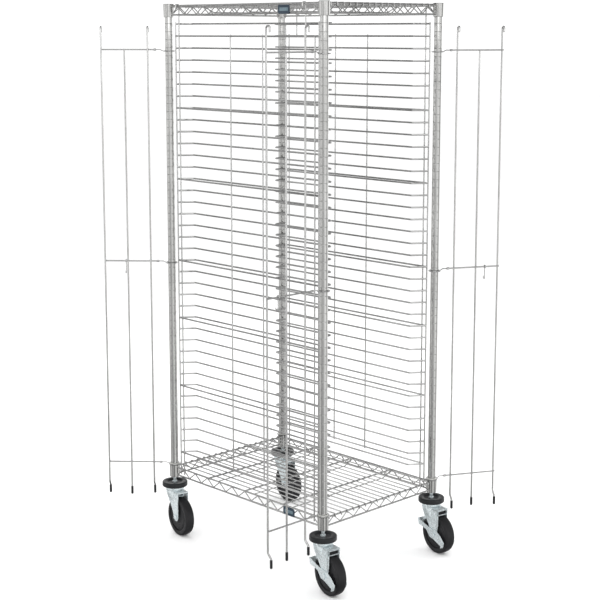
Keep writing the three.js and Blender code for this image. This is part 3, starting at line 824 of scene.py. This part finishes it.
def make_wheel(name, place):
    centre = (TRAIL, 0, WHEEL_RADIUS)
    tread = Mesh(place)
    tread.turned(tyre_profile(), 80, centre, "y")
    tread.build(f"{name}_tread", WHEEL_BLACK, f"{name}_wheel", [f"{name}_wheel"])
    hub = Mesh(place)
    hub.turned(hub_profile(), 64, centre, "y")
    hub.build(f"{name}_hub", HUB_BLACK, f"{name}_wheel")


def make_axle(name, place, braked):
    mesh = Mesh(place)
    centre = (TRAIL, 0, WHEEL_RADIUS)
    spacing = LEVER_SPACE if braked else 0
    reach = AXLE_REACH + spacing
    start = NUT_START + spacing
    shaft = [(AXIS_RADIUS, 1 * MM - reach), (AXLE_RADIUS, 1 * MM - reach)]
    shaft += [(AXLE_RADIUS, reach - 1 * MM), (AXIS_RADIUS, reach - 1 * MM)]
    mesh.turned(shaft, 24, centre, "y")
    for side in (-1, 1):
        edge, face = side * (reach - 1.4 * MM), side * (reach - 0.2 * MM)
        nut = [(AXIS_RADIUS, side * start), (NUT_RADIUS, side * start), (NUT_RADIUS, edge)]
        nut += [(NUT_RADIUS - 1.2 * MM, face), (AXIS_RADIUS, face)]
        mesh.turned(nut, 6, centre, "y")
    mesh.build(f"{name}_axle_nuts", ZINC, f"{name}_swivel", [f"{name}_axle"], bevel=0.3 * MM)


def strip(mesh, ends, low, high):
    """A flat strip between two points of the wheel's plane."""
    start, end = Vector(ends[0]), Vector(ends[1])
    across = (end - start).orthogonal().normalized() * LEVER_SHEET / 2
    outline = [start + across, start - across, end - across, end + across]
    mesh.plate([tuple(point) for point in outline], low, high)


def make_lever(name, place):
    """Two arms on the axle, a pedal across their leading end and a toe bent out of one."""
    mesh = Mesh(place @ Matrix.Translation((TRAIL, 0, WHEEL_RADIUS)))
    outline = [(x * MM, z * MM) for x, z in ARM_OUTLINE]
    mesh.plate(outline, ARM_INNER, ARM_OUTER)
    mesh.plate(outline, -ARM_OUTER, -ARM_INNER)
    strip(mesh, PEDAL, -ARM_OUTER, ARM_OUTER)
    strip(mesh, TOE, -TOE_REACH, -ARM_INNER)
    replaces = [f"{name}_brake_pedal"]
    mesh.build(f"{name}_brake_lever", ZINC, f"{name}_pedal", replaces, bevel=0.6 * MM)


# Labels
def rounded_plate(half_y, half_z, corner):
    """The outline of a plate with rounded corners."""
    outline = []
    for side_y, side_z, start in ((1, 1, 0), (-1, 1, 90), (-1, -1, 180), (1, -1, 270)):
        centre = (side_y * (half_y - corner), side_z * (half_z - corner))
        outline += arc(centre, corner, start, start + 90, 5)
    return outline


def make_label(name):
    """A blank plate with a plain paler field on it."""
    low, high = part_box(name)
    half_y, half_z = (high.y - low.y) / 2, (high.z - low.z) / 2
    turn = Matrix.Translation((low + high) / 2) @ Matrix.Rotation(math.radians(-90), 4, "Z")
    plate = Mesh(turn)
    plate.plate(rounded_plate(half_y, half_z, 7 * MM), -0.5 * MM, 0.5 * MM)
    plate.build(f"{name}_plate", LABEL_DARK, "rack", [name])
    field = Mesh(turn)
    field.plate(rounded_plate(half_y - 7 * MM, half_z - 8 * MM, 1.5 * MM), -0.62 * MM, -0.45 * MM)
    field.build(f"{name}_field", LABEL_PALE, "rack")


# Stage
def make_floor():
    data = bpy.data.meshes.new("floor")
    size = 30
    corners = [(-size, -size, 0), (size, -size, 0), (size, size, 0), (-size, size, 0)]
    data.from_pydata(corners, [], [(0, 1, 2, 3)])
    floor = bpy.data.objects.new("floor", data)
    bpy.context.scene.collection.objects.link(floor)
    material, shader = principled("floor_white", (0.93, 0.93, 0.93), 0.0, 0.9)
    shader.inputs["Specular IOR Level"].default_value = 0.1
    data.materials.append(material)
    floor.visible_glossy = False


def make_light(name, at, size, power, reflected):
    data = bpy.data.lights.new(name, "AREA")
    data.energy = power
    data.size = size
    light = bpy.data.objects.new(name, data)
    light.location = RACK + Vector(at)
    light.visible_glossy = reflected
    aim = RACK + Vector((0, 0, 0.8)) - light.location
    light.rotation_euler = aim.to_track_quat("-Z", "Y").to_euler()
    bpy.context.scene.collection.objects.link(light)


def make_world():
    """Plain white for the floor and the view, and a banded studio for the metal to reflect."""
    world = bpy.data.worlds.new("studio")
    bpy.context.scene.world = world
    world.use_nodes = True
    nodes, links = world.node_tree.nodes, world.node_tree.links
    plain = nodes["Background"]
    plain.inputs["Color"].default_value = (1, 1, 1, 1)
    plain.inputs["Strength"].default_value = 1.15
    studio = nodes.new("ShaderNodeBackground")
    studio.inputs["Strength"].default_value = 2.35
    place = nodes.new("ShaderNodeTexCoord")
    blend = nodes.new("ShaderNodeVectorMath")
    blend.operation = "MULTIPLY"
    links.new(sky_by_height(nodes, links, place), blend.inputs[0])
    links.new(bands_round_about(nodes, links, place), blend.inputs[1])
    links.new(blend.outputs["Vector"], studio.inputs["Color"])
    ray = nodes.new("ShaderNodeLightPath")
    choice = nodes.new("ShaderNodeMixShader")
    links.new(ray.outputs["Is Glossy Ray"], choice.inputs["Fac"])
    links.new(plain.outputs["Background"], choice.inputs[1])
    links.new(studio.outputs["Background"], choice.inputs[2])
    links.new(choice.outputs["Shader"], nodes["World Output"].inputs["Surface"])


def sky_by_height(nodes, links, place):
    """Bright round the horizon and dark overhead and below."""
    split = nodes.new("ShaderNodeSeparateXYZ")
    links.new(place.outputs["Generated"], split.inputs["Vector"])
    height = nodes.new("ShaderNodeMath")
    height.operation = "ABSOLUTE"
    links.new(split.outputs["Z"], height.inputs[0])
    sky = color_steps(nodes, [(0.0, 0.80), (0.22, 0.62), (0.55, 0.26), (1.0, 0.10)])
    links.new(height.outputs["Value"], sky.inputs["Fac"])
    return sky.outputs["Color"]


def bands_round_about(nodes, links, place):
    """Light and dark bands that stand upright round the rack."""
    stretch = nodes.new("ShaderNodeMapping")
    stretch.inputs["Scale"].default_value = (3.4, 3.4, 0.25)
    links.new(place.outputs["Generated"], stretch.inputs["Vector"])
    cloud = nodes.new("ShaderNodeTexNoise")
    cloud.inputs["Scale"].default_value = 1.7
    cloud.inputs["Detail"].default_value = 1.0
    links.new(stretch.outputs["Vector"], cloud.inputs["Vector"])
    bands = color_steps(nodes, [(0.42, 0.16), (0.48, 0.55), (0.54, 1.0)])
    links.new(cloud.outputs["Fac"], bands.inputs["Fac"])
    return bands.outputs["Color"]


def color_steps(nodes, steps):
    """A ramp of greys from (position, value) pairs."""
    ramp = nodes.new("ShaderNodeValToRGB")
    elements = ramp.color_ramp.elements
    while len(elements) < len(steps):
        elements.new(1.0)
    for element, (position, value) in zip(elements, steps):
        element.position = position
        element.color = (value, value, value, 1)
    return ramp


def make_camera():
    data = bpy.data.cameras.new("camera")
    data.lens = CAMERA_LENS
    data.sensor_width = 36
    data.shift_y = CAMERA_SHIFT
    data.clip_end = 100
    camera = bpy.data.objects.new("camera", data)
    camera.location = RACK + CAMERA_AT
    camera.rotation_euler = (math.radians(90) - CAMERA_TILT, 0, -CAMERA_TURN)
    bpy.context.scene.collection.objects.link(camera)
    bpy.context.scene.camera = camera


make_camera()
make_world()
make_floor()
make_light("key", (-2.2, -2.6, 3.4), 4.4, 66, True)
make_light("fill", (2.8, -1.6, 2.2), 2.0, 30, False)
make_light("rim", (0.6, 3.0, 2.8), 2.4, 40, False)
for post_name in POST_NAMES:
    make_post(post_name)
    make_cap(post_name)
    for shelf_level in ("bottom", "top"):
        make_sleeve(post_name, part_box(f"{shelf_level}_shelf")[0].z, shelf_level)
    make_gate(post_name)
    make_caster(post_name)
for shelf_name in ("bottom_shelf", "top_shelf"):
    make_shelf(shelf_name)
make_panel("left_slides", 0)
make_panel("right_slides", math.pi)
for label_name in ("bottom_label", "top_label"):
    make_label(label_name)
bpy.context.scene.view_settings.view_transform = "Standard"

bpy.context.view_layer.update()
